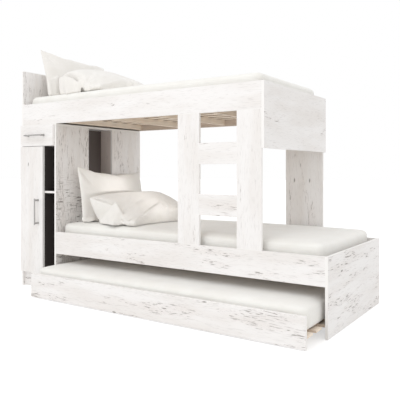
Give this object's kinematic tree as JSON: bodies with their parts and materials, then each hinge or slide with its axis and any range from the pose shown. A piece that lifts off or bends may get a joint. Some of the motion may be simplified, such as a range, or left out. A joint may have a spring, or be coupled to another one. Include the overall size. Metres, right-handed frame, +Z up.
{
  "type": "bunk bed",
  "caption": "Bunk bed of white boards with a ladder, a cabinet with door, drawer and open niche at its head, mattresses, pillows and a bed on wheels that pulls out below.",
  "frame": {"origin": "middle of the footprint's bounding box, on the floor, with the pull-out bed part way out", "axes": "+X along the bed from the cabinet at its head to its foot, +Y from the open front to the wall side, +Z up"},
  "size_m": [2.31, 1.108, 1.7313],
  "materials": {
    "white_board": "whitewashed wood-effect laminate on chipboard, fine grey scratches along the board",
    "hardboard": "thin white-faced hardboard",
    "pine": "sawn and planed pine, bare",
    "satin_metal": "satin grey metal",
    "zinc_steel": "zinc-plated steel",
    "white_plastic": "moulded white plastic",
    "grey_rubber": "grey wheel with a soft tread",
    "mattress_fabric": "cream knitted cover",
    "pillow_fabric": "white cotton cover"
  },
  "bodies": {
    "bed": {"head_panel": "white_board", "upper_front_rail": "white_board", "upper_rear_rail": "white_board", "upper_end_board": "white_board", "lower_front_rail": "white_board", "lower_rear_rail": "white_board", "foot_panel": "white_board", "rear_leg_panel": "white_board", "ladder_post_left": "white_board", "ladder_post_right": "white_board", "ladder_rung_1": "white_board", "ladder_rung_2": "white_board", "cabinet_side_front": "white_board", "cabinet_side_rear": "white_board", "cabinet_top": "white_board", "cabinet_bottom": "white_board", "cabinet_plinth": "white_board", "drawer_deck": "white_board", "niche_back": "white_board", "recess_wall": "white_board", "niche_shelf": "white_board", "recess_shelf": "white_board", "wardrobe_shelf": "white_board", "cabinet_divider": "white_board", "cabinet_back": "hardboard", "upper_slat_base": "pine", "lower_slat_base": "pine", "hinge_plate_lower": "zinc_steel", "hinge_plate_upper": "zinc_steel", "drawer_runner_left": "white_plastic", "drawer_runner_right": "white_plastic", "upper_mattress": "mattress_fabric", "lower_mattress": "mattress_fabric", "upper_pillow_standing": "pillow_fabric", "upper_pillow_lying": "pillow_fabric", "lower_pillow_standing": "pillow_fabric", "lower_pillow_lying": "pillow_fabric"},
    "door": {"door_panel": "white_board", "door_handle": "satin_metal", "hinge_cup_lower": "zinc_steel", "hinge_cup_upper": "zinc_steel"},
    "drawer": {"drawer_front": "white_board", "drawer_side_left": "white_board", "drawer_side_right": "white_board", "drawer_back": "white_board", "drawer_bottom": "hardboard", "drawer_handle": "satin_metal"},
    "pull_out_bed": {"trundle_front_board": "white_board", "trundle_rear_board": "white_board", "trundle_slat_base": "pine", "trundle_mattress": "mattress_fabric", "wheel_bracket_front_head": "zinc_steel", "wheel_bracket_rear_head": "zinc_steel", "wheel_bracket_front_foot": "zinc_steel", "wheel_bracket_rear_foot": "zinc_steel"},
    "wheel_front_head": {"wheel_front_head": "grey_rubber"},
    "wheel_rear_head": {"wheel_rear_head": "grey_rubber"},
    "wheel_front_foot": {"wheel_front_foot": "grey_rubber"},
    "wheel_rear_foot": {"wheel_rear_foot": "grey_rubber"}
  },
  "joints": [
    {"name": "door_hinge", "type": "hinge", "parent": "bed", "child": "door", "pos_m": [-1.148, -0.354, 0.552], "axis": [0, 0, -1], "range_deg": [0, 105]},
    {"name": "drawer_slide", "type": "slide", "parent": "bed", "child": "drawer", "axis": [0, -1, 0], "range_m": [0, 0.2]},
    {"name": "pull_out_bed_slide", "type": "slide", "parent": "bed", "child": "pull_out_bed", "axis": [0, -1, 0], "range_m": [-0.217, 0.65]},
    {"name": "wheel_front_head_spin", "type": "hinge", "parent": "pull_out_bed", "child": "wheel_front_head", "pos_m": [-0.6546, -0.449, 0.02], "axis": [1, 0, 0], "continuous": true},
    {"name": "wheel_rear_head_spin", "type": "hinge", "parent": "pull_out_bed", "child": "wheel_rear_head", "pos_m": [-0.6546, 0.225, 0.02], "axis": [1, 0, 0], "continuous": true},
    {"name": "wheel_front_foot_spin", "type": "hinge", "parent": "pull_out_bed", "child": "wheel_front_foot", "pos_m": [1.0016, -0.449, 0.02], "axis": [1, 0, 0], "continuous": true},
    {"name": "wheel_rear_foot_spin", "type": "hinge", "parent": "pull_out_bed", "child": "wheel_rear_foot", "pos_m": [1.0016, 0.225, 0.02], "axis": [1, 0, 0], "continuous": true}
  ],
  "couplings": [
    {"joint": "wheel_front_head_spin", "follows": "pull_out_bed_slide", "rad_per_m": 50},
    {"joint": "wheel_rear_head_spin", "follows": "pull_out_bed_slide", "rad_per_m": 50},
    {"joint": "wheel_front_foot_spin", "follows": "pull_out_bed_slide", "rad_per_m": 50},
    {"joint": "wheel_rear_foot_spin", "follows": "pull_out_bed_slide", "rad_per_m": 50}
  ]
}
